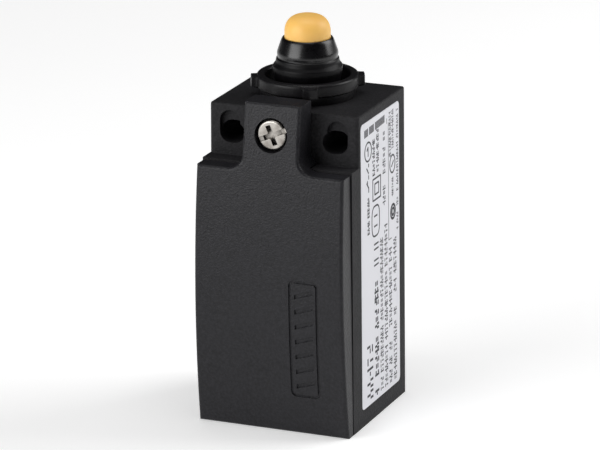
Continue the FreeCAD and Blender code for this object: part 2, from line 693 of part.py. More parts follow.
def main():
    os.makedirs("parts", exist_ok=True)
    save("housing_base", housing_base())
    save("rating_label", rating_label())
    save("front_cover", front_cover())
    save("cover_seal", cover_seal())
    save("cover_screw", cover_screw())
    save("screw_seal_ring", screw_seal_ring())
    save("screw_retainer", screw_retainer())
    save("screw_insert", screw_insert())
    save("head_collar", head_collar())
    save("plunger_boot", plunger_boot())
    save("plunger_guide", plunger_guide())
    save("plunger_cap", plunger_cap())
    save("plunger_stem", plunger_stem())
    save("return_spring", return_spring())
    save("contact_block_body", contact_block_body())
    save("contact_block_lid", contact_block_lid())
    save("contact_slider", contact_slider())
    for name in TAIL_X:
        save("fixed_contact_" + name, fixed_contact(name))
        save("contact_tip_" + name, contact_tip(name))
        save("cage_clamp_" + name, cage_clamp(name))
    for name, row in (("front", 1), ("rear", -1)):
        save("contact_bridge_" + name, contact_bridge(row))
        save("bridge_tips_" + name, bridge_tips(row))
        save("contact_spring_" + name, contact_spring(row))


main()
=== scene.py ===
import json
import math

import bpy
import numpy as np
from bpy.props import FloatProperty, FloatVectorProperty, PointerProperty
from bpy.types import Operator, Panel, PropertyGroup
from mathutils import Matrix, Vector


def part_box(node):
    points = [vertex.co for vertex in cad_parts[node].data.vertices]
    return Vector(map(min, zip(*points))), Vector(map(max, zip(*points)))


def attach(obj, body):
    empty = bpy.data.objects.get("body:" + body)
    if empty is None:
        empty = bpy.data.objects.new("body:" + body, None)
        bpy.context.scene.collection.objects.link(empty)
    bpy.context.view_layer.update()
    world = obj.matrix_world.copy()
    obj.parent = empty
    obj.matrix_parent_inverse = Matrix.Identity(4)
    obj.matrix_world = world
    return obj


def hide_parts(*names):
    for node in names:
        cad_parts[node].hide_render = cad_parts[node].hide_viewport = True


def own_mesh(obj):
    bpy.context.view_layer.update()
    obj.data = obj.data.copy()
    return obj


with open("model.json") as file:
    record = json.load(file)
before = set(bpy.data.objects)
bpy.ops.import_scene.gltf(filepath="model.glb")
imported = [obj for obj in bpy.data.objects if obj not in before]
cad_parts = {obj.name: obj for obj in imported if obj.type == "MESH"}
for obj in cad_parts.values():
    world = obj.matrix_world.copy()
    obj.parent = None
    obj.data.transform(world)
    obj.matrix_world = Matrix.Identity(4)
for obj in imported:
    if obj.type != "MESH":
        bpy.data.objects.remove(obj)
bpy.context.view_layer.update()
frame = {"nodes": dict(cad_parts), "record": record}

bl_info = {
    "name": "Limit switch finisher",
    "version": (1, 0, 0),
    "blender": (4, 5, 0),
    "location": "View3D > Sidebar > Limit Switch",
    "description": "Finishes a plunger limit switch round its CAD frame: boot, cap, collar, springs, print",
    "category": "Object",
}

TURN = 2.0 * math.pi
QUARTER = TURN / 4.0
MM = 0.001
PLAIN = (1.0, 1.0, 1.0)       # the same along every axis


# --- places, read from the frame ----------------------------------------------------------------------


def low(node):
    return np.array(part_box(node)[0])


def high(node):
    return np.array(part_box(node)[1])


def vertices(node):
    """All corners of a CAD node's mesh, one row each."""
    mesh = frame["nodes"][node].data
    points = np.empty(len(mesh.vertices) * 3, np.float32)
    mesh.vertices.foreach_get("co", points)
    return points.reshape(-1, 3).astype(float)


PLUNGER_AXIS = (low("plunger_stem") + high("plunger_stem"))[:2] / 2.0
SCREW_PLACE = (low("cover_screw") + high("cover_screw")) / 2.0


# --- surfaces -----------------------------------------------------------------------------------------

NEAR_MIDDLE = 0.49            # the most of a side that one corner's arc takes
FADE_TURNS = 0.5              # a thread's ridge grows and sinks over this much of a turn
FADE_LEAST = 0.04             # and keeps this share of its height at its ends
RIDGE_FOOT, RIDGE_CREST = 0.42, 0.09    # half widths of a thread's ridge, as shares of its pitch


def fan_volume(points, polygons):
    """Signed volume under a set of polygons: each is cut into a fan of triangles from its first corner, and
    each triangle spans a tetrahedron with the origin whose volume is a sixth of its triple product."""
    corners = points[polygons]
    first, second, third = corners[:, :1], corners[:, 1:-1], corners[:, 2:]
    return float((first * np.cross(second, third)).sum()) / 6.0


def shell(points, wrap_rows=True):
    """A closed surface from a grid of points. The quad at (i, j) joins points (i, j), (i, j+1), (i+1, j+1)
    and (i+1, j). Each row is a loop. Wrapped rows join the last row to the first; otherwise the first and
    the last row are closed by one flat face each. The faces are turned outwards by the sign of the volume."""
    rows, columns = points.shape[:2]
    i = np.arange(rows if wrap_rows else rows - 1)[:, None]
    j = np.arange(columns)[None, :]
    after_i, after_j = (i + 1) % rows, (j + 1) % columns
    corners = [i * columns + j, i * columns + after_j, after_i * columns + after_j, after_i * columns + j]
    quads = np.stack(corners, -1).reshape(-1, 4)
    flat = points.reshape(-1, 3)
    ends = np.empty((0, columns), int)
    if not wrap_rows:
        ring = np.arange(columns)
        ends = np.stack([ring[::-1], ring + (rows - 1) * columns])
    volume = fan_volume(flat, quads) + (fan_volume(flat, ends) if len(ends) else 0.0)
    if volume < 0.0:
        quads, ends = quads[:, ::-1], ends[:, ::-1]
    return flat, quads.tolist() + ends.tolist()


def turned(outline, centre, steps, wrap=True):
    """A surface of revolution about the vertical through centre: the outline's (r, z) at row i, turned by the
    angle of column j, is (centre x + r sin a, centre y - r cos a, z). A closed outline wraps; an open one
    gets flat ends."""
    angle = np.arange(steps) * TURN / steps
    r, z = outline[:, :1], outline[:, 1:]
    x = centre[0] + r * np.sin(angle)
    y = centre[1] - r * np.cos(angle)
    return shell(np.stack([x, y, z + 0.0 * angle], -1), wrap_rows=wrap)


def carried(path, across, up, section, wrap):
    """A section carried along a path: row i, column j is path(i) + across(i) s(j) + up(i) t(j), where (s, t)
    are the section's own coordinates and across and up are unit vectors square to the path."""
    s, t = section[None, :, :1], section[None, :, 1:]
    return shell(path[:, None] + across[:, None] * s + up[:, None] * t, wrap_rows=wrap)


def softened(corners, cut, steps=5):
    """A closed outline whose corners are replaced by parabolic arcs. Each arc starts and ends a cut's length
    along the two sides, or just short of their middle if that is nearer, and its points are
    (1-t)^2 a + 2t(1-t) corner + t^2 b."""
    corners = np.asarray(corners, float)
    before, after = np.roll(corners, 1, 0), np.roll(corners, -1, 0)
    cut = np.broadcast_to(np.asarray(cut, float), (len(corners),))[:, None]

    def toward(other):
        side = other - corners
        length = np.linalg.norm(side, axis=1, keepdims=True)
        return corners + side / length * np.minimum(cut, length * NEAR_MIDDLE)

    a, b = toward(before)[:, None], toward(after)[:, None]
    t = np.linspace(0.0, 1.0, steps)[None, :, None]
    arcs = (1 - t) ** 2 * a + 2 * t * (1 - t) * corners[:, None] + t**2 * b
    return arcs.reshape(-1, corners.shape[1])


def circle(radius, steps):
    """Points (radius cos a, radius sin a) at even angles."""
    angle = np.arange(steps) * TURN / steps
    return radius * np.stack([np.cos(angle), np.sin(angle)], -1)


def coil_heights(turns, wire, z0, z1, per_turn):
    """Angle and height along a coil spring's centre line: one dead turn at each end rises by the wire's
    thickness, and the turns between share what is left evenly."""
    count = int(turns * per_turn) + 1
    along = np.linspace(0.0, turns, count)
    bottom, top = z0 + wire / 2.0, z1 - wire / 2.0
    heights = [bottom, bottom + wire, top - wire, top]
    return along * TURN, np.interp(along, [0.0, 1.0, turns - 1.0, turns], heights)


def coil_spring(radius, wire, turns, z0, z1, centre, sides=12, per_turn=36):
    """A round wire carried along a helix: the centre line at angle a is (R sin a, -R cos a, height of a), and
    the section's axes are the outward radius and the cross product of the path's direction with it."""
    angle, height = coil_heights(turns, wire, z0, z1, per_turn)
    out = np.stack([np.sin(angle), -np.cos(angle), 0.0 * angle], -1)
    path = out * radius + np.stack([0.0 * angle + centre[0], 0.0 * angle + centre[1], height], -1)
    direction = np.gradient(path, axis=0)
    direction /= np.linalg.norm(direction, axis=1, keepdims=True)
    return carried(path, out, np.cross(direction, out), circle(wire / 2.0, sides), wrap=False)


def thread_ridge(root, crest, pitch, start, end, centre, axis, sides=64):
    """A thread's ridge: a trapezoid standing on the root radius, carried along a helix about an axis. At turn
    u its middle is at start + pitch u, and over the first and last half turn its height grows from almost
    nothing and sinks to it."""
    turns = (end - start) / pitch
    u = np.linspace(0.0, turns, int(turns * sides) + 1)
    angle = u * TURN
    fade = np.clip(np.minimum(u, turns - u) / FADE_TURNS, FADE_LEAST, 1.0)[:, None]
    reach = np.array([0.0, 1.0, 1.0, 0.0])[None] * (crest - root) * fade + root
    width = np.array([-RIDGE_FOOT, -RIDGE_CREST, RIDGE_CREST, RIDGE_FOOT])[None] * pitch
    along = start + pitch * u[:, None] + width
    flat = (reach * np.sin(angle)[:, None], -reach * np.cos(angle)[:, None])
    if axis == "z":
        points = np.stack([centre[0] + flat[0], centre[1] + flat[1], along], -1)
    else:
        points = np.stack([centre[0] + flat[0], along, centre[2] + flat[1]], -1)
    return shell(points, wrap_rows=False)


def joined(parts):
    """Several closed surfaces in one list of points and one list of faces."""
    points, faces, start = [], [], 0
    for part_points, part_faces in parts:
        points.append(part_points)
        faces.extend([[corner + start for corner in face] for face in part_faces])
        start += len(part_points)
    return np.concatenate(points), faces


def piece(name, parts, finish, body, stands_for=(), sharp=35.0):
    """Puts closed surfaces in one mesh object at the origin, and says what it rides on and stands for."""
    points, faces = joined(parts)
    mesh = bpy.data.meshes.new(name)
    mesh.from_pydata(points.tolist(), [], faces)
    mesh.validate()
    mesh.shade_smooth()
    mesh.set_sharp_from_angle(angle=math.radians(sharp))
    mesh.materials.append(finish_of(finish))
    made = bpy.data.objects.new(name, mesh)
    bpy.context.scene.collection.objects.link(made)
    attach(made, body)
    if stands_for:
        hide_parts(*stands_for)
    return made


# --- finishes -----------------------------------------------------------------------------------------

EDGE_HIGHLIGHT_REACH = 0.00025         # how far the painted edge highlight reaches in from a moulding's corner
SOFT_EDGE = 0.00012           # the round that light finds on a moulding's corner
MATT_BAND = 0.0004            # half the height over which rubber turns from glossy to matt
MATT_ROUGHER = 0.2            # what matt rubber adds to the roughness
MATT_DULLER = 0.65            # the share of its gloss that matt rubber loses
SKIN_SCALE = 0.0008           # how deep light goes into coloured plastic
RECESS_SHADE_REACH = 0.0012         # how far round a point a recess in metal is looked for, to paint shade into it


def add_node(tree, kind, settings=None, **inputs):
    """Adds a node. An input that is a socket is linked, any other is set as the input's value."""
    made = tree.nodes.new(kind)
    for name, value in (settings or {}).items():
        setattr(made, name, value)
    for name, value in inputs.items():
        socket = made.inputs[name.replace("_", " ").title()]
        if isinstance(value, bpy.types.NodeSocket):
            tree.links.new(value, socket)
        else:
            socket.default_value = value
    return made


def place(tree, stretch=PLAIN):
    """The point on the object, in metres, stretched along each axis."""
    point = add_node(tree, "ShaderNodeTexCoord").outputs["Object"]
    if tuple(stretch) == PLAIN:
        return point
    return add_node(tree, "ShaderNodeMapping", Vector=point, Scale=stretch).outputs["Vector"]


def noise(tree, size, detail=2.0, stretch=PLAIN):
    """Noise whose lumps are about this size in metres."""
    made = add_node(tree, "ShaderNodeTexNoise", Vector=place(tree, stretch), Scale=1.0 / size, Detail=detail)
    return made.outputs["Fac"]


def ranged(tree, value, low_from, high_from, low_to, high_to):
    """Carries a value from one range to another in proportion, and holds it at the ends."""
    made = add_node(tree, "ShaderNodeMapRange", Value=value, From_Min=low_from, From_Max=high_from,
                    To_Min=low_to, To_Max=high_to)
    return made.outputs["Result"]


def combined(tree, operation, a, b):
    made = tree.nodes.new("ShaderNodeMath")
    made.operation = operation
    for socket, value in zip(made.inputs, (a, b)):
        if isinstance(value, bpy.types.NodeSocket):
            tree.links.new(value, socket)
        else:
            socket.default_value = value
    return made.outputs["Value"]


def blended(tree, factor, first, second):
    """The first colour where the factor is 0 and the second where it is 1. Each may be a colour or a
    socket."""
    made = add_node(tree, "ShaderNodeMix", {"data_type": "RGBA"})
    for socket, value in ((made.inputs[0], factor), (made.inputs[6], first), (made.inputs[7], second)):
        if isinstance(value, bpy.types.NodeSocket):
            tree.links.new(value, socket)
        else:
            socket.default_value = value
    return made.outputs[2]


def shade(colour, factor):
    return tuple(min(1.0, channel * factor) for channel in colour) + (1.0,)


def finish_of(slot):
    return bpy.data.materials[slot + "_finish"]


def blank_finish(slot):
    material = bpy.data.materials.new(slot + "_finish")
    material.use_nodes = True
    shader = material.node_tree.nodes["Principled BSDF"]
    return material.node_tree, shader


def edge_mask(tree, radius):
    """1 on sharp outer and inner edges and 0 on open faces: how far the normal turns when edges are
    rounded."""
    rounded = add_node(tree, "ShaderNodeBevel", {"samples": 6}, Radius=radius).outputs["Normal"]
    plain = add_node(tree, "ShaderNodeNewGeometry").outputs["Normal"]
    dot = tree.nodes.new("ShaderNodeVectorMath")
    dot.operation = "DOT_PRODUCT"
    tree.links.new(rounded, dot.inputs[0])
    tree.links.new(plain, dot.inputs[1])
    return ranged(tree, dot.outputs["Value"], 0.80, 0.995, 1.0, 0.0)


def moulded(name, colour, roughness, grain=0.00035, depth=0.00013, mottle=0.30, edge_highlight_gain=1.7, gloss=0.18):
    """Moulded plastic: an even spark-eroded grain, faint cloudy flow marks, and a painted highlight that
    makes the edges a little lighter."""
    tree, shader = blank_finish(name)
    cloud = noise(tree, 0.006, 4.0)
    speckle = noise(tree, grain * 1.6, 3.0)
    dark, light = shade(colour, 1.0 - mottle), shade(colour, 1.0 + mottle)
    body = blended(tree, cloud, dark, light)
    spots = ranged(tree, speckle, 0.35, 0.65, 0.0, 1.0)
    speckled = blended(tree, spots, body, shade(colour, 1.0 + 2.0 * mottle))
    # painted highlight: edges and corners lightened in clouds, standing in for light caught on their rounding
    edge_highlight = edge_mask(tree, EDGE_HIGHLIGHT_REACH)
    highlighted = blended(tree, combined(tree, "MULTIPLY", edge_highlight, cloud), speckled, shade(colour, edge_highlight_gain))
    tree.links.new(highlighted, shader.inputs["Base Color"])
    rough = ranged(tree, cloud, 0.2, 0.8, roughness - 0.05, roughness + 0.05)
    tree.links.new(rough, shader.inputs["Roughness"])
    height = combined(tree, "ADD", noise(tree, grain, 2.0), combined(tree, "MULTIPLY", cloud, 0.3))
    bump = add_node(tree, "ShaderNodeBump", Height=height, Strength=0.8, Distance=depth)
    rounded = add_node(tree, "ShaderNodeBevel", {"samples": 4}, Radius=SOFT_EDGE)
    tree.links.new(rounded.outputs["Normal"], bump.inputs["Normal"])
    tree.links.new(bump.outputs["Normal"], shader.inputs["Normal"])
    shader.inputs["Specular IOR Level"].default_value = gloss


def rubbery(name, colour, roughness, bloom, matt_below=None, gloss=0.5):
    """Moulded rubber: smooth, with a faint dusty bloom in clouds and a very fine skin. It is matt below a
    height, if one is given."""
    tree, shader = blank_finish(name)
    cloud = noise(tree, 0.0025, 5.0)
    dusty = ranged(tree, cloud, 0.5, 0.8, 0.0, 1.0)
    tone = blended(tree, dusty, shade(colour, 1.0), shade(colour, bloom))
    tree.links.new(tone, shader.inputs["Base Color"])
    rough = ranged(tree, cloud, 0.3, 0.8, roughness, roughness + 0.14)
    if matt_below:
        height = add_node(tree, "ShaderNodeSeparateXYZ", Vector=place(tree)).outputs["Z"]
        matt = ranged(tree, height, matt_below - MATT_BAND, matt_below + MATT_BAND, 1.0, 0.0)
        rough = combined(tree, "ADD", rough, combined(tree, "MULTIPLY", matt, MATT_ROUGHER))
        shine = combined(tree, "SUBTRACT", gloss, combined(tree, "MULTIPLY", matt, gloss * MATT_DULLER))
        tree.links.new(shine, shader.inputs["Specular IOR Level"])
    tree.links.new(rough, shader.inputs["Roughness"])
    bump = add_node(tree, "ShaderNodeBump", Height=noise(tree, 0.0004), Strength=0.12, Distance=0.00002)
    tree.links.new(bump.outputs["Normal"], shader.inputs["Normal"])


def satin(name, colour, deeper, roughness, scatter):
    """Smooth coloured thermoplastic: a warmer tone in clouds, soft scatter under the skin and fine rub
    marks."""
    tree, shader = blank_finish(name)
    cloud = noise(tree, 0.004, 3.0)
    tone = blended(tree, cloud, shade(colour, 1.0), shade(deeper, 1.0))
    tree.links.new(tone, shader.inputs["Base Color"])
    scuff = noise(tree, 0.0006, 4.0, (1.0, 1.0, 0.25))
    rough = ranged(tree, scuff, 0.3, 0.7, roughness - 0.05, roughness + 0.08)
    tree.links.new(rough, shader.inputs["Roughness"])
    shader.inputs["Subsurface Weight"].default_value = scatter
    shader.inputs["Subsurface Radius"].default_value = (1.0, 0.6, 0.25)
    shader.inputs["Subsurface Scale"].default_value = SKIN_SCALE
    bump = add_node(tree, "ShaderNodeBump", Height=scuff, Strength=0.08, Distance=0.00002)
    tree.links.new(bump.outputs["Normal"], shader.inputs["Normal"])


def printed_film(name, colour):
    """Satin label film: nearly even, with faint handling smudges and a very slight ripple."""
    tree, shader = blank_finish(name)
    smudge = noise(tree, 0.008, 5.0)
    tone = blended(tree, smudge, shade(colour, 0.95), shade(colour, 1.05))
    tree.links.new(tone, shader.inputs["Base Color"])
    tree.links.new(ranged(tree, smudge, 0.3, 0.7, 0.38, 0.52), shader.inputs["Roughness"])
    bump = add_node(tree, "ShaderNodeBump", Height=noise(tree, 0.0015), Strength=0.1, Distance=0.00003)
    tree.links.new(bump.outputs["Normal"], shader.inputs["Normal"])


def inked(name, colour):
    """Thermal print: dark, and slightly broken up by a fine grain."""
    tree, shader = blank_finish(name)
    grain = noise(tree, 0.00025, 3.0)
    tone = blended(tree, grain, shade(colour, 0.8), shade(colour, 1.6))
    tree.links.new(tone, shader.inputs["Base Color"])
    tree.links.new(ranged(tree, grain, 0.3, 0.7, 0.5, 0.65), shader.inputs["Roughness"])


def metallic(name, colour, tarnish, roughness, brushing, grain=0.0002):
    """Plated or drawn metal: fine marks that brushing stretches along an axis, clouds of dull tarnish, and
    painted shade in recesses."""
    tree, shader = blank_finish(name)
    shader.inputs["Metallic"].default_value = 1.0
    cloud = noise(tree, 0.0018, 4.0)
    dull = ranged(tree, cloud, 0.45, 0.75, 0.0, 1.0)
    # painted shade: recesses darkened to a quarter of the tarnish colour, standing in for the shade that
    # falls in them
    recess_occlusion = add_node(tree, "ShaderNodeAmbientOcclusion", {"samples": 8, "only_local": True},
                        Distance=RECESS_SHADE_REACH)
    unshaded = ranged(tree, recess_occlusion.outputs["AO"], 0.25, 0.85, 0.0, 1.0)
    face = blended(tree, dull, shade(colour, 1.0), shade(tarnish, 1.0))
    tree.links.new(blended(tree, unshaded, shade(tarnish, 0.25), face), shader.inputs["Base Color"])
    marks = noise(tree, grain, 3.0, brushing)
    rough = combined(tree, "ADD", ranged(tree, marks, 0.3, 0.7, roughness - 0.06, roughness + 0.08),
                     combined(tree, "MULTIPLY", dull, 0.12))
    tree.links.new(rough, shader.inputs["Roughness"])
    bump = add_node(tree, "ShaderNodeBump", Height=marks, Strength=0.15, Distance=0.00001)
    tree.links.new(bump.outputs["Normal"], shader.inputs["Normal"])


# --- settings -----------------------------------------------------------------------------------------


def length(name, description, default):
    return FloatProperty(name=name, description=description, default=default, unit="LENGTH", precision=5)


def colour(name, description, default):
    return FloatVectorProperty(name=name, description=description, default=default, subtype="COLOR", size=3,
                               min=0.0, max=1.0)


class SwitchSizes(PropertyGroup):
    dome_round: length("Cap dome", "Round of the plunger cap's top edge", 0.0036)
    boot_round: length("Boot rounding", "How far the boot's creases are rounded", 0.0006)
    return_wire: length("Return spring wire", "Thickness of the plunger spring's wire", 0.0006)
    contact_wire: length("Contact spring wire", "Thickness of the contact springs' wire", 0.0005)
    entry_pitch: length("Entry thread pitch", "Pitch of the cable entry's thread", 0.0015)
    screw_pitch: length("Screw thread pitch", "Pitch of the cover screw's thread", 0.0007)
    lug_edge: FloatProperty(name="Lug edge", default=1.2, min=0.5, max=4.0,
                            description="How far a collar lug's side slopes, in degrees of turn")
    ink_height: length("Ink height", "How far the print stands above the label film", 0.000015)


class SwitchColours(PropertyGroup):
    housing: colour("Housing", "Moulded housing", (0.0125, 0.0122, 0.0134))
    cover: colour("Cover", "Front cover", (0.0106, 0.0104, 0.0122))
    collar: colour("Collar", "Bayonet collar", (0.0060, 0.0056, 0.0064))
    boot: colour("Boot", "Rubber boot", (0.0022, 0.0020, 0.0026))
    seal: colour("Seals", "Gasket and sealing ring", (0.012, 0.012, 0.013))
    cap: colour("Cap", "Plunger cap", (0.96, 0.58, 0.15))
    film: colour("Label film", "Rating label", (0.72, 0.72, 0.76))
    ink: colour("Ink", "Print on the rating label", (0.014, 0.014, 0.020))
    natural: colour("Bearing plastic", "Guide, stem and slider", (0.72, 0.69, 0.62))
    block: colour("Contact block", "Body of the contact block", (0.13, 0.135, 0.14))
    lid: colour("Contact block lid", "Lid of the contact block", (0.42, 0.43, 0.43))
    zinc: colour("Zinc plate", "Cover screw", (0.42, 0.40, 0.37))
    brass: colour("Brass", "Threaded insert", (0.72, 0.50, 0.22))
    copper: colour("Contact strip", "Terminal strips and bridges", (0.78, 0.60, 0.42))
    spring: colour("Spring steel", "Springs and clamps", (0.60, 0.60, 0.61))
    silver: colour("Silver", "Contact tips", (0.86, 0.85, 0.82))


class SwitchStage(PropertyGroup):
    azimuth: FloatProperty(name="Azimuth", description="Camera's turn from the front towards the label side",
                           default=math.radians(22.6), subtype="ANGLE", unit="ROTATION")
    elevation: FloatProperty(name="Elevation", description="Camera's height above level",
                             default=math.radians(17.26), subtype="ANGLE", unit="ROTATION")
    roll: FloatProperty(name="Roll", description="Camera's turn about its own line of sight",
                        default=math.radians(-0.31), subtype="ANGLE", unit="ROTATION")
    distance: length("Distance", "From the camera to the point it looks at", 0.8196)
    lens: FloatProperty(name="Lens", description="Focal length in millimetres", default=256.6, min=10.0)
    target: FloatVectorProperty(name="Target", description="The point that the camera looks at", size=3,
                                default=(-0.00012, 0.00018, 0.03689), unit="LENGTH", precision=5)
    key_power: FloatProperty(name="Key light", description="Large light at the front left, in watts",
                             default=6.0, unit="POWER")
    side_power: FloatProperty(name="Side light", description="Light at the label side, in watts", default=5.0,
                              unit="POWER")
    top_power: FloatProperty(name="Top light", description="Light overhead, in watts", default=5.2,
                             unit="POWER")
    sky: FloatProperty(name="Sky", description="Strength of the even light from all round", default=0.02)
    floor: colour("Floor", "Plain floor", (0.92, 0.92, 0.92))
    floor_glow: FloatProperty(name="Floor glow", description="Light that the floor gives off itself",
                              default=0.30)


# --- pieces -------------------------------------------------------------------------------------------


def fine_lines(outline, longest):
    """Adds even points to an outline's long sides, so that no side is longer than this."""
    outline = np.asarray(outline, float)
    after = np.roll(outline, -1, 0)
    share = np.ceil(np.linalg.norm(after - outline, axis=1) / longest).astype(int).clip(1)
    start = np.repeat(np.arange(len(outline)), share)
    step = np.arange(len(start)) - np.repeat(np.cumsum(share) - share, share)
    t = (step / share[start])[:, None]
    return outline[start] * (1 - t) + after[start] * t


BOOT_TALL = 10.3              # the lip's height in the boot's own section, in millimetres
LIP_GAP = 0.05 * MM           # between the cap's side and the boot's lip


def boot_outline(foot, lip, cap_radius, rounding):
    """The boot's section in (r, z): out from the foot up the flange, over the band and in along the cone to
    the lip, then down its inner wall."""
    rise = (lip - foot) / BOOT_TALL
    outside = [
        (6.05, 0.0), (6.22, 2.0), (6.68, 3.85), (6.68, 4.75), (6.12, 5.45), (6.02, 6.25),
        (5.72, 6.42), (5.92, 7.25), (4.98, 9.95), (4.66, BOOT_TALL),
    ]
    inside = [
        (4.47, 10.2), (4.47, 9.2), (5.00, 7.0), (5.15, 5.2), (5.45, 3.9), (5.45, 0.0),
    ]
    points = np.array([(r * MM, foot + z * rise) for r, z in outside + inside])
    points[len(outside):len(outside) + 2, 0] = cap_radius + LIP_GAP
    cut = np.full(len(points), rounding * 0.5)
    cut[2:4] = rounding * 0.35    # the band's two corners
    cut[7:9] = rounding           # the cone's foot and shoulder
    cut[9:11] = rounding * 0.25   # the lip
    return softened(points, cut, steps=6)


class SWITCH_OT_boot(Operator):
    """Turns the rubber boot round the plunger"""

    bl_idname = "limit_switch.boot"
    bl_label = "Plunger boot"

    def execute(self, context):
        sizes = context.scene.switch_sizes
        lowest, highest = low("plunger_boot"), high("plunger_boot")
        cap_radius = (high("plunger_cap") - low("plunger_cap"))[0] / 2.0
        outline = boot_outline(lowest[2], highest[2], cap_radius, sizes.boot_round)
        boot = piece("boot_skin", [turned(outline, PLUNGER_AXIS, 144)], "boot_rubber", "housing",
                     ["plunger_boot"], sharp=60.0)
        squeeze(boot)
        return {"FINISHED"}


def squeeze(made):
    """Gives a piece its own copy of its mesh."""
    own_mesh(made)


class SWITCH_OT_cap(Operator):
    """Turns the plunger cap with its domed top"""

    bl_idname = "limit_switch.cap"
    bl_label = "Plunger cap"

    def execute(self, context):
        lowest, highest = low("plunger_cap"), high("plunger_cap")
        radius = (highest - lowest)[0] / 2.0
        outline = cap_outline(radius, lowest[2], highest[2], context.scene.switch_sizes.dome_round)
        piece("cap_button", [turned(outline, PLUNGER_AXIS, 128, wrap=False)], "cap_plastic", "plunger",
              ["plunger_cap"], sharp=50.0)
        return {"FINISHED"}


CROWN_POWER = 2.3
CROWN_SAG = 0.12 * MM
CAP_BEVEL = 0.3 * MM


def cap_outline(radius, bottom, top, dome):
    """The cap's section: a nearly flat crown that falls away as a superellipse into the straight side, then a
    small bevel at the foot. With u and v the sine and cosine of the bend, raised to 2/power, the radius is
    (radius - dome) + dome u and the height is top - dome (1 - v) - sag (1 - u). The crown's middle sags with
    the square of its radius."""
    bend = np.linspace(0.0, QUARTER, 28)
    u, v = np.sin(bend) ** (2.0 / CROWN_POWER), np.cos(bend) ** (2.0 / CROWN_POWER)
    crown = np.stack([radius - dome + dome * u, top - dome * (1.0 - v)], -1)
    flat = np.linspace(0.05 * radius, radius - dome, 6)[:-1]
    sag = CROWN_SAG * (flat / (radius - dome)) ** 2
    crown[:, 1] -= CROWN_SAG * (1.0 - u)
    middle = np.stack([flat, top - sag], -1)
    foot = np.array([(radius, bottom + CAP_BEVEL), (radius - CAP_BEVEL, bottom), (0.2 * radius, bottom)])
    return np.concatenate([middle, crown, foot])


def lug_share(angle, first, width, edge):
    """1 inside each of four lugs and 0 between them, with sides that slope over an edge's turn."""
    away = np.abs((angle - first + QUARTER / 2.0) % QUARTER - QUARTER / 2.0)
    return np.clip((width / 2.0 - away) / edge + 0.5, 0.0, 1.0)


COLLAR_RING = 9.8 * MM        # radius of the ring between the lugs
LUG_FACE = 0.02 * MM          # corners this near the largest radius lie on a lug's face
COLLAR_STEPS = 720


class SWITCH_OT_collar(Operator):
    """Turns the bayonet collar, with four lugs on its ring"""

    bl_idname = "limit_switch.collar"
    bl_label = "Bayonet collar"

    def execute(self, context):
        points = vertices("head_collar")
        around = points[:, :2] - PLUNGER_AXIS
        radius = np.hypot(around[:, 0], around[:, 1])
        foot, top = points[:, 2].min(), points[:, 2].max()
        neck = high("housing_base")[2]
        reach = radius.max() - COLLAR_RING
        lug = radius > radius.max() - LUG_FACE
        turn = np.arctan2(around[lug, 0], -around[lug, 1]) % QUARTER
        first, width = (turn.min() + turn.max()) / 2.0, turn.max() - turn.min()
        outline, share = collar_outline(foot, neck, top, COLLAR_RING)
        angle = np.arange(COLLAR_STEPS) * TURN / COLLAR_STEPS
        edge = math.radians(context.scene.switch_sizes.lug_edge)
        stretch = share[:, None] * reach * lug_share(angle, first, width, edge)[None]
        r = outline[:, :1] + stretch
        grid = np.stack([PLUNGER_AXIS[0] + r * np.sin(angle), PLUNGER_AXIS[1] - r * np.cos(angle),
                         outline[:, 1:] + 0.0 * angle], -1)
        piece("bayonet_collar", [shell(grid)], "collar_plastic", "housing", ["head_collar"],
              sharp=32.0)
        return {"FINISHED"}


def collar_outline(foot, neck, top, ring):
    """The collar's section in (r, z), and for each point how far a lug carries it outwards, from 0 to 1."""
    sides = [
        (7.4 * MM, foot, 0.0), (7.4 * MM, neck, 0.0), (9.2 * MM, neck, 0.0), (9.2 * MM, neck + 1.5 * MM, 0.0),
        (ring, neck + 1.9 * MM, 1.0), (ring, top - 0.6 * MM, 1.0), (ring - 0.06 * MM, top - 0.3 * MM, 1.0),
        (ring - 0.07 * MM, top - 0.27 * MM, 0.0), (ring - 0.3 * MM, top, 0.0), (8.35 * MM, top, 0.0),
        (8.12 * MM, top - 0.25 * MM, 0.0), (7.9 * MM, neck + 1.0 * MM, 0.0), (5.6 * MM, neck + 1.0 * MM, 0.0),
        (5.6 * MM, foot, 0.0),
    ]
    soft = softened(sides, 0.00012, steps=4)
    return soft[:, :2], soft[:, 2]


RETURN_TURNS = 6.5
CONTACT_TURNS = 7.0


class SWITCH_OT_springs(Operator):
    """Winds the plunger's return spring and the two contact springs"""

    bl_idname = "limit_switch.springs"
    bl_label = "Coil springs"

    def execute(self, context):
        sizes = context.scene.switch_sizes
        wound = [("return_spring", "plunger_slide", sizes.return_wire, RETURN_TURNS),
                 ("contact_spring_front", "bridge_front_slide", sizes.contact_wire, CONTACT_TURNS),
                 ("contact_spring_rear", "bridge_rear_slide", sizes.contact_wire, CONTACT_TURNS)]
        for node, motion, wire, turns in wound:
            lowest, highest = low(node), high(node)
            middle = (lowest + highest)[:2] / 2.0
            radius = (highest - lowest)[0] / 2.0 - wire / 2.0
            coil = coil_spring(radius, wire, turns, lowest[2], highest[2], middle)
            made = piece(node + "_coil", [coil], "spring_steel", "housing", [node],
                         sharp=80.0)
            squeeze(made)
        return {"FINISHED"}


ENTRY_SUNK = 0.02 * MM        # how far the entry thread's foot is sunk into its bore
ENTRY_RIDGE = 0.85 * MM       # how far the entry thread stands in from its bore
ENTRY_PLAIN = 0.9 * MM        # bore left plain at each end of the entry thread
SCREW_ROOT = 1.43 * MM
SCREW_CREST = 1.74 * MM
SCREW_PLAIN = 0.4 * MM        # shank left plain at each end of the screw's thread


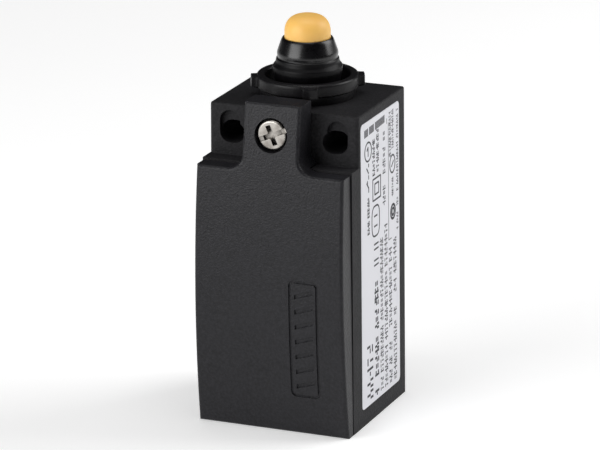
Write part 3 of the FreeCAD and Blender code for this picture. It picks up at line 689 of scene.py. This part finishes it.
class SWITCH_OT_threads(Operator):
    """Cuts the thread of the cable entry and rolls the thread of the cover screw"""

    bl_idname = "limit_switch.threads"
    bl_label = "Threads"

    def execute(self, context):
        sizes = context.scene.switch_sizes
        entry = next(m for m in frame["record"]["mounts"] if m["name"] == "cable_entry")
        root = entry["dims"]["r_mm"] * MM
        deep = entry["dims"]["length_mm"] * MM
        ridge = thread_ridge(root + ENTRY_SUNK, root - ENTRY_RIDGE, sizes.entry_pitch, ENTRY_PLAIN,
                             deep - ENTRY_PLAIN, entry["pos_m"], "z", sides=96)
        piece("entry_thread", [ridge], "housing_plastic", "housing")
        front = low("screw_insert")[1] + SCREW_PLAIN
        back = high("cover_screw")[1] - SCREW_PLAIN
        rolled = thread_ridge(SCREW_ROOT, SCREW_CREST, sizes.screw_pitch, front, back, SCREW_PLACE, "y",
                              sides=40)
        piece("screw_thread", [rolled], "zinc_steel", "cover_screw")
        return {"FINISHED"}


SEAL_INSET = 0.45 * MM        # from the CAD gasket's edge to the middle of the seal's section
SEAL_HALF = 0.42 * MM         # half the section's width


class SWITCH_OT_seal(Operator):
    """Lays the gasket between the housing and the cover"""

    bl_idname = "limit_switch.seal"
    bl_label = "Cover seal"

    def execute(self, context):
        lowest, highest = low("cover_seal"), high("cover_seal")
        corners = vertices("cover_seal")
        top = corners[corners[:, 2] > highest[2] - 0.1 * MM]
        half_top = np.abs(top[:, 0]).max() - SEAL_INSET
        left, right = lowest[0] + SEAL_INSET, highest[0] - SEAL_INSET
        foot, head = lowest[2] + SEAL_INSET, highest[2] - SEAL_INSET
        loop = [(left, foot), (right, foot), (half_top, head), (-half_top, head)]
        line = fine_lines(softened(loop, 0.9 * MM, steps=7), 2.0 * MM)
        middle = (lowest[1] + highest[1]) / 2.0
        path = np.stack([line[:, 0], 0.0 * line[:, 0] + middle, line[:, 1]], -1)
        direction = np.roll(path, -1, 0) - np.roll(path, 1, 0)
        direction /= np.linalg.norm(direction, axis=1, keepdims=True)
        up = np.tile([0.0, 1.0, 0.0], (len(path), 1))
        across = np.cross(direction, up)
        half, tall = SEAL_HALF, (highest[1] - lowest[1]) / 2.0
        section = softened([(-half, -tall), (half, -tall), (half, tall), (-half, tall)], 0.3 * MM)
        gasket = carried(path, across, up, section, wrap=True)
        piece("gasket", [gasket], "seal_rubber", "housing", ["cover_seal"], sharp=60.0)
        return {"FINISHED"}


# --- label print --------------------------------------------------------------------------------------

# Each mark is a few strokes (u, v, u, v): u runs along the line and v up across it, both from 0 to 1.
MARKS = (
    ((0.1, 0.0, 0.1, 1.0), (0.5, 0.2, 0.9, 0.2), (0.5, 0.8, 0.9, 0.8)),
    ((0.1, 0.1, 0.9, 0.1), (0.1, 0.5, 0.6, 0.5), (0.9, 0.5, 0.9, 1.0)),
    ((0.9, 0.0, 0.9, 1.0), (0.1, 0.5, 0.5, 0.5)),
    ((0.1, 0.9, 0.9, 0.9), (0.5, 0.0, 0.5, 0.5)),
    ((0.1, 0.0, 0.1, 0.45), (0.5, 0.5, 0.5, 1.0), (0.9, 0.0, 0.9, 0.45)),
    ((0.1, 0.3, 0.9, 0.3), (0.1, 0.7, 0.9, 0.7)),
)


LINE_UNITS = (MM, MM, MM, MM, MM, 1.0)    # a line's five lengths are in millimetres, and its gaps a share
LABEL_CORNER = 1.5 * MM       # corners this near the label's foot or head belong to it
STROKE_OVERRUN = 0.3          # how far a stroke runs past its ends, as a share of half its width
INK_SUNK = 0.01 * MM          # how far the print's foot is sunk into the film
MARK_SHARE = 0.72             # the share of a mark's pitch that the mark fills


def label_frame():
    """The label's outer face: Y at its front edge, Z at its foot, X at its foot, and how much X changes for
    each metre up."""
    points = vertices("rating_label")
    lowest, highest = points.min(0), points.max(0)
    foot = points[points[:, 2] < lowest[2] + LABEL_CORNER]
    head = points[points[:, 2] > highest[2] - LABEL_CORNER]
    a, b = foot[foot[:, 0].argmax()], head[head[:, 0].argmax()]
    slope = (b[0] - a[0]) / (b[2] - a[2])
    return lowest[1], lowest[2], a[0] + slope * (lowest[2] - a[2]), slope


def strokes(segments, width, ink):
    """Thin closed bars on the label. Each segment runs from (s, t) to (s, t), where s is the distance from
    the label's front edge and t the height above its foot. A bar's corners are the two ends, each carried
    on by a small share of the width, half a width to either side, just under the film's face and at the
    ink's height above it."""
    front, foot, x_foot, slope = label_frame()
    segments = np.asarray(segments, float)
    a, b = segments[:, :2], segments[:, 2:]
    direction = b - a
    direction /= np.linalg.norm(direction, axis=1, keepdims=True)
    side = np.stack([-direction[:, 1], direction[:, 0]], -1) * width / 2.0
    along = direction * width / 2.0 * STROKE_OVERRUN
    flat = np.stack([a - along - side, a - along + side, b + along + side, b + along - side], 1)
    y, z = front + flat[..., 0], foot + flat[..., 1]
    x = x_foot + slope * (z - foot)
    inner = np.stack([x - INK_SUNK, y, z], -1)
    outer = np.stack([x + ink, y, z], -1)
    box = np.concatenate([inner, outer], 1)
    faces = np.array([[0, 1, 2, 3], [7, 6, 5, 4], [0, 4, 5, 1], [1, 5, 6, 2], [2, 6, 7, 3], [3, 7, 4, 0]])
    if fan_volume(box[0], faces) < 0.0:
        faces = faces[:, ::-1]
    start = np.arange(len(box))[:, None, None] * 8
    return box.reshape(-1, 3), (faces[None] + start).reshape(-1, 4).tolist()


def written(line, random):
    """The strokes of one greeked line of print, which is a row of marks that spell nothing. A line is (its
    middle s, its height, where it starts and ends, the width of a mark, and the share of marks left out as
    spaces)."""
    middle, tall, start, end, wide, gaps = line
    count = int((end - start) / wide)
    pitch = (end - start) / count
    found = []
    for k in range(count):
        kind = random.integers(len(MARKS))
        if 0 < k < count - 1 and random.random() < gaps:
            continue
        t = start + k * pitch
        for u0, v0, u1, v1 in MARKS[kind]:
            found.append((middle + (0.5 - v0) * tall, t + u0 * pitch * MARK_SHARE,
                          middle + (0.5 - v1) * tall, t + u1 * pitch * MARK_SHARE))
    return found


def ring(s, t, half_s, half_t, count=28, power=2.0):
    """A closed loop of segments: s + half_s cos a, t + half_t sin a, with the cosine and sine raised to
    2/power, which squares the loop."""
    angle = np.arange(count + 1) * TURN / count
    c, d = np.cos(angle), np.sin(angle)
    x = s + half_s * np.sign(c) * np.abs(c) ** (2.0 / power)
    y = t + half_t * np.sign(d) * np.abs(d) ** (2.0 / power)
    return np.stack([x[:-1], y[:-1], x[1:], y[1:]], -1).tolist()


def frame_of(s, t, half_s, half_t):
    """The four sides of a rectangle round (s, t), half_s and half_t from its middle to its sides."""
    a, b, c, d = s - half_s, s + half_s, t - half_t, t + half_t
    return [(a, c, b, c), (b, c, b, d), (b, d, a, d), (a, d, a, c)]


class SWITCH_OT_print(Operator):
    """Prints the rating label with greeked lines and plain symbols"""

    bl_idname = "limit_switch.label_print"
    bl_label = "Label print"

    def execute(self, context):
        ink = context.scene.switch_sizes.ink_height
        random = np.random.default_rng(5)
        bold = np.array([(4.1, 2.9, 1.2, 12.6, 2.2, 0.0), (7.7, 1.9, 0.8, 18.4, 1.28, 0.12),
                         (7.6, 1.9, 19.0, 24.2, 1.28, 0.0)]) * LINE_UNITS
        small = np.array([
            (10.3, 1.45, 1.0, 32.0, 0.92, 0.10), (12.6, 1.45, 1.0, 34.0, 0.92, 0.10),
            (14.9, 1.45, 1.0, 9.5, 0.92, 0.05), (14.9, 1.45, 12.5, 28.6, 0.92, 0.12),
            (17.3, 1.45, 1.0, 16.0, 0.92, 0.10), (17.3, 1.45, 18.8, 30.0, 0.92, 0.12),
            (11.8, 1.3, 37.8, 52.8, 1.05, 0.22), (6.5, 1.15, 45.2, 52.6, 0.8, 0.10),
            (8.5, 1.15, 45.4, 54.0, 0.8, 0.10), (3.7, 1.0, 34.3, 41.7, 0.66, 0.05),
        ]) * LINE_UNITS
        fine = np.array([
            (14.9, 0.95, 46.5, 55.6, 0.6, 0.10), (16.3, 0.95, 47.9, 55.8, 0.6, 0.10),
            (18.7, 0.95, 31.0, 55.4, 0.6, 0.14), (16.2, 0.8, 38.4, 42.3, 0.5, 0.0),
        ]) * LINE_UNITS
        heavy = [s for line in bold for s in written(line, random)]
        light = [s for line in small for s in written(line, random)]
        faint = [s for line in fine for s in written(line, random)]
        symbols = ring(3.7, 50.6, 1.7, 1.85) + [(3.7, 49.7, 3.7, 51.5), (3.1, 50.9, 3.7, 51.5)]
        symbols += frame_of(8.0, 42.3, 2.0, 2.1) + frame_of(8.0, 42.3, 1.0, 1.05)
        symbols += ring(7.4, 36.0, 1.95, 3.0, power=3.2) + [(6.6, 35.0, 8.2, 35.0), (6.6, 37.0, 8.2, 37.0)]
        symbols += [(3.9, 42.6, 3.9, 43.4), (3.9, 43.4, 2.9, 44.6), (3.9, 45.2, 3.9, 45.9),
                    (3.9, 46.3, 2.9, 47.5), (3.3, 44.4, 3.3, 44.9), (3.9, 47.6, 3.9, 48.2)]
        symbols += ring(16.2, 44.9, 1.35, 1.75) + [(15.7, 44.4, 16.8, 45.4)]
        symbols += [(6.5, 27.2, 8.7, 27.2), (6.5, 28.2, 8.7, 28.2), (6.5, 30.4, 8.7, 30.4),
                    (6.5, 31.4, 8.7, 31.4)]
        solid = ring(16.4, 35.3, 1.2, 1.4, 24) + ring(16.4, 35.3, 0.6, 0.7, 16)
        box = [(14.1, 30.2, 14.1, 53.6), (14.1, 30.2, 15.6, 30.2), (13.3, 53.6, 13.3, 54.6)]
        stamp = [(s, 53.6 + 0.05 * s, s, 55.0 + 0.05 * s) for s in np.arange(2.0, 12.4, 0.5)
                 if not (3.7 < s < 4.4 or 6.6 < s < 7.3)]
        parts = [strokes(heavy, 0.00050, ink), strokes(light, 0.00029, ink), strokes(faint, 0.00020, ink),
                 strokes(np.array(symbols) * MM, 0.00034, ink), strokes(np.array(solid) * MM, 0.00050, ink),
                 strokes(np.array(box) * MM, 0.00016, ink), strokes(np.array(stamp) * MM, 0.00036, ink)]
        piece("label_print", parts, "label_ink", "housing")
        return {"FINISHED"}


# --- finishes for every node --------------------------------------------------------------------------


CONE_FOOT = 0.62              # where the boot's glossy cone starts, as a share of its height


class SWITCH_OT_finishes(Operator):
    """Makes the materials and puts them on the CAD nodes"""

    bl_idname = "limit_switch.finishes"
    bl_label = "Finishes"

    def execute(self, context):
        tones = context.scene.switch_colours
        moulded("housing_plastic", tones.housing, 0.58, gloss=0.14)
        moulded("cover_plastic", tones.cover, 0.37, gloss=0.22)
        moulded("collar_plastic", tones.collar, 0.36, grain=0.0003, depth=0.00003, gloss=0.22)
        cone_foot = CONE_FOOT * high("plunger_boot")[2] + (1.0 - CONE_FOOT) * low("plunger_boot")[2]
        rubbery("boot_rubber", tones.boot, 0.22, 1.6, matt_below=cone_foot)
        rubbery("seal_rubber", tones.seal, 0.55, 1.8)
        satin("cap_plastic", tones.cap, (0.95, 0.52, 0.12), 0.45, 0.10)
        satin("natural_plastic", tones.natural, (0.66, 0.62, 0.52), 0.40, 0.25)
        moulded("block_plastic", tones.block, 0.50, mottle=0.08, edge_highlight_gain=1.2)
        moulded("lid_plastic", tones.lid, 0.48, mottle=0.05, edge_highlight_gain=1.1)
        printed_film("label_film", tones.film)
        inked("label_ink", tones.ink)
        metallic("zinc_steel", tones.zinc, (0.22, 0.20, 0.18), 0.32, PLAIN)
        metallic("brass", tones.brass, (0.48, 0.30, 0.12), 0.26, (1.0, 0.2, 1.0))
        metallic("copper_strip", tones.copper, (0.55, 0.36, 0.22), 0.30, (1.0, 1.0, 0.15))
        metallic("spring_steel", tones.spring, (0.40, 0.38, 0.36), 0.28, PLAIN)
        metallic("silver", tones.silver, (0.55, 0.52, 0.46), 0.22, PLAIN)
        for part in frame["record"]["subparts"]:
            mesh = frame["nodes"][part["node"]].data
            mesh.materials.clear()
            mesh.materials.append(finish_of(part["material_slot"]))
        return {"FINISHED"}


# --- stage --------------------------------------------------------------------------------------------


def outward(turn, rise):
    """The direction (sin turn cos rise, -cos turn cos rise, sin rise), from the object towards a viewer."""
    return Vector((math.sin(turn) * math.cos(rise), -math.cos(turn) * math.cos(rise), math.sin(rise)))


def soft_light(name, azimuth, elevation, distance, size, power, aim):
    """A rectangular area light on a sphere round the aim, facing it. Its turn and height are in degrees."""
    light = bpy.data.lights.new(name, "AREA")
    light.shape = "RECTANGLE"
    light.size, light.size_y = size
    light.energy = power
    made = bpy.data.objects.new(name, light)
    bpy.context.scene.collection.objects.link(made)
    back = outward(math.radians(azimuth), math.radians(elevation))
    made.location = aim + back * distance
    made.rotation_euler = back.to_track_quat("Z", "Y").to_euler()


def floor_sheet(size, steps=24):
    """A flat square of grid points at z = 0, size across, centred under the object."""
    line = (np.arange(steps + 1) / steps - 0.5) * size
    x, y = np.meshgrid(line, line, indexing="ij")
    points = np.stack([x, y, 0.0 * x], -1).reshape(-1, 3)
    i, j = np.meshgrid(np.arange(steps), np.arange(steps), indexing="ij")
    corner = (i * (steps + 1) + j).reshape(-1, 1)
    return points, (corner + [0, steps + 1, steps + 2, 1]).tolist()


FLOOR_SIZE = 6.0
SENSOR_WIDTH = 36.0           # millimetres
NEAREST, FARTHEST = 0.01, 20.0

# Name, turn and height in degrees, distance from the aim, and size across and up in metres.
LIGHTS = (
    ("key", -32.0, 18.0, 0.9, (0.7, 0.58)),
    ("side", 126.0, 30.0, 0.9, (0.6, 0.6)),
    ("top", 0.0, 89.0, 1.1, (0.8, 0.8)),
)


class SWITCH_OT_stage(Operator):
    """Lays the floor, hangs the lights and sets the camera"""

    bl_idname = "limit_switch.stage"
    bl_label = "Stage"

    def execute(self, context):
        scene, stage = context.scene, context.scene.switch_stage
        tree, shader = blank_finish("floor_paper")
        cloud = noise(tree, 0.15, 3.0)
        tone = blended(tree, cloud, shade(stage.floor, 0.985), shade(stage.floor, 1.015))
        tree.links.new(tone, shader.inputs["Base Color"])
        tree.links.new(ranged(tree, cloud, 0.3, 0.7, 0.82, 0.92), shader.inputs["Roughness"])
        shader.inputs["Emission Color"].default_value = (1.0, 1.0, 1.0, 1.0)
        shader.inputs["Emission Strength"].default_value = stage.floor_glow
        points, faces = floor_sheet(FLOOR_SIZE)
        mesh = bpy.data.meshes.new("floor")
        mesh.from_pydata(points.tolist(), [], faces)
        mesh.materials.append(finish_of("floor_paper"))
        floor = bpy.data.objects.new("floor", mesh)
        scene.collection.objects.link(floor)

        aim = Vector(stage.target)
        for name, *placing in LIGHTS:
            soft_light(name + "_light", *placing, getattr(stage, name + "_power"), aim)
        world = bpy.data.worlds.new("studio")
        world.use_nodes = True
        background = world.node_tree.nodes["Background"]
        background.inputs["Color"].default_value = (1.0, 1.0, 1.0, 1.0)
        background.inputs["Strength"].default_value = stage.sky
        scene.world = world
        scene.view_settings.view_transform = "Standard"

        camera = bpy.data.objects.new("camera", bpy.data.cameras.new("camera"))
        scene.collection.objects.link(camera)
        camera.data.lens = stage.lens
        camera.data.sensor_width = SENSOR_WIDTH
        camera.data.clip_start, camera.data.clip_end = NEAREST, FARTHEST
        back = outward(stage.azimuth, stage.elevation)
        right = Vector((math.cos(stage.azimuth), math.sin(stage.azimuth), 0.0))
        turn = Matrix.Rotation(stage.roll, 3, back)
        axes = Matrix((turn @ right, turn @ back.cross(right), back)).transposed().to_4x4()
        camera.matrix_world = Matrix.Translation(aim + back * stage.distance) @ axes
        scene.camera = camera
        return {"FINISHED"}


# --- add-on -------------------------------------------------------------------------------------------

STEPS = (SWITCH_OT_finishes, SWITCH_OT_boot, SWITCH_OT_cap, SWITCH_OT_collar, SWITCH_OT_springs,
         SWITCH_OT_threads, SWITCH_OT_seal, SWITCH_OT_print, SWITCH_OT_stage)


class SWITCH_PT_panel(Panel):
    """Lists the sizes, colours and steps of the limit switch"""

    bl_idname = "SWITCH_PT_panel"
    bl_label = "Limit Switch"
    bl_space_type = "VIEW_3D"
    bl_region_type = "UI"
    bl_category = "Limit Switch"

    def draw(self, context):
        layout = self.layout
        for group in (context.scene.switch_sizes, context.scene.switch_colours, context.scene.switch_stage):
            box = layout.box()
            for name in group.bl_rna.properties.keys():
                if name not in ("rna_type", "name"):
                    box.prop(group, name)
        for step in STEPS:
            layout.operator(step.bl_idname)


GROUPS = (SwitchSizes, SwitchColours, SwitchStage)


def register():
    for cls in GROUPS + STEPS + (SWITCH_PT_panel,):
        bpy.utils.register_class(cls)
    bpy.types.Scene.switch_sizes = PointerProperty(type=SwitchSizes)
    bpy.types.Scene.switch_colours = PointerProperty(type=SwitchColours)
    bpy.types.Scene.switch_stage = PointerProperty(type=SwitchStage)


def unregister():
    del bpy.types.Scene.switch_stage
    del bpy.types.Scene.switch_colours
    del bpy.types.Scene.switch_sizes
    for cls in reversed(GROUPS + STEPS + (SWITCH_PT_panel,)):
        bpy.utils.unregister_class(cls)


def main():
    register()
    bpy.ops.limit_switch.finishes()
    bpy.ops.limit_switch.boot()
    bpy.ops.limit_switch.cap()
    bpy.ops.limit_switch.collar()
    bpy.ops.limit_switch.springs()
    bpy.ops.limit_switch.threads()
    bpy.ops.limit_switch.seal()
    bpy.ops.limit_switch.label_print()
    bpy.ops.limit_switch.stage()


if __name__ == "__main__":
    main()
